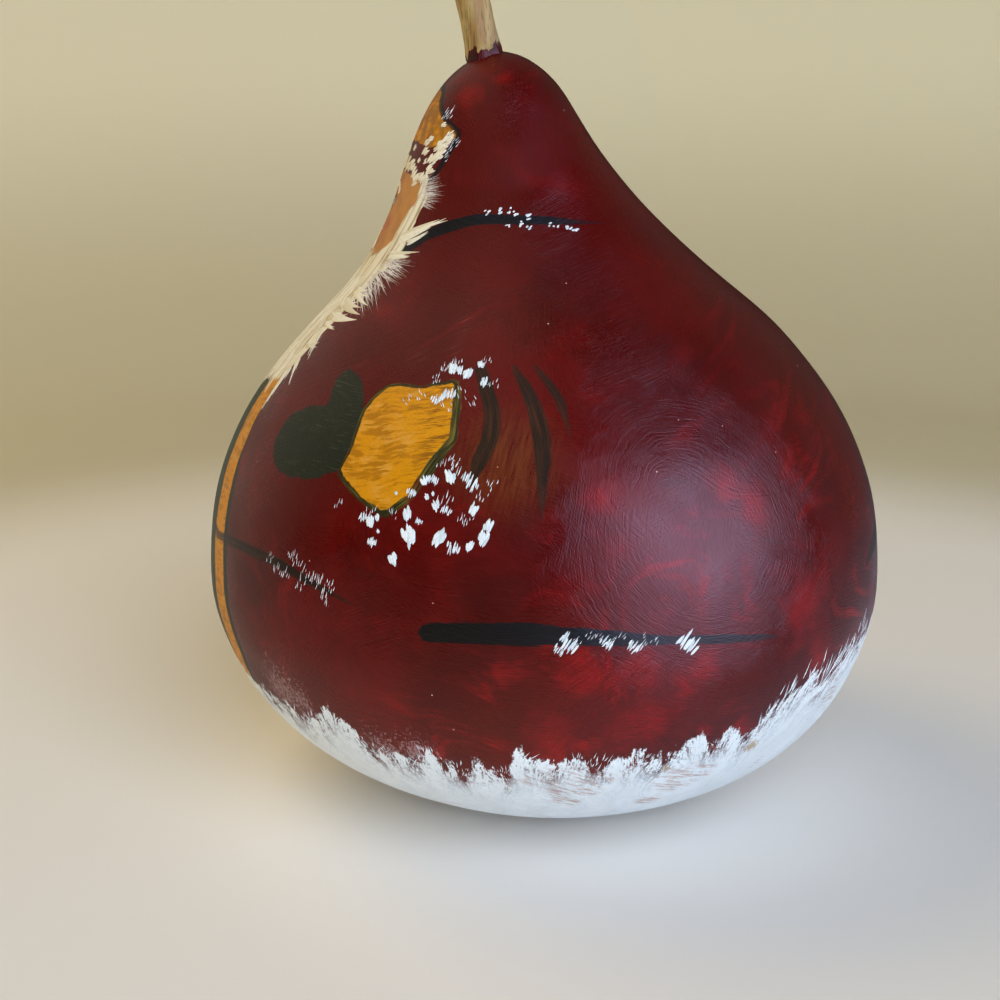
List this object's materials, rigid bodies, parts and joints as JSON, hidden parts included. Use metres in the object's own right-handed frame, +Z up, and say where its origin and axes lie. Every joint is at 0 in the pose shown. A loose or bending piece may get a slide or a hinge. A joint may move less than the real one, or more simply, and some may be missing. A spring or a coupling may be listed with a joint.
{
  "type": "painted gourd",
  "caption": "Dried pear-shaped gourd with a leaning neck and its own stem, hand painted with a robed winter figure; stands on a flat spot as an ornament.",
  "frame": {"origin": "on the surface that the gourd stands on, under the middle of its widest part", "axes": "+Z up through the gourd; the painted front and the lean of the neck face -Y; +X is to the right of someone looking at the front"},
  "size_m": [0.1854, 0.1855, 0.2375],
  "materials": {
    "painted_skin": "dark red acrylic paint on dried gourd skin, satin varnish",
    "dry_stem": "bare dried stem, ribbed, semi-matt"
  },
  "bodies": {
    "root": {"gourd_body": "painted_skin", "stem": "dry_stem"}
  },
  "joints": []
}
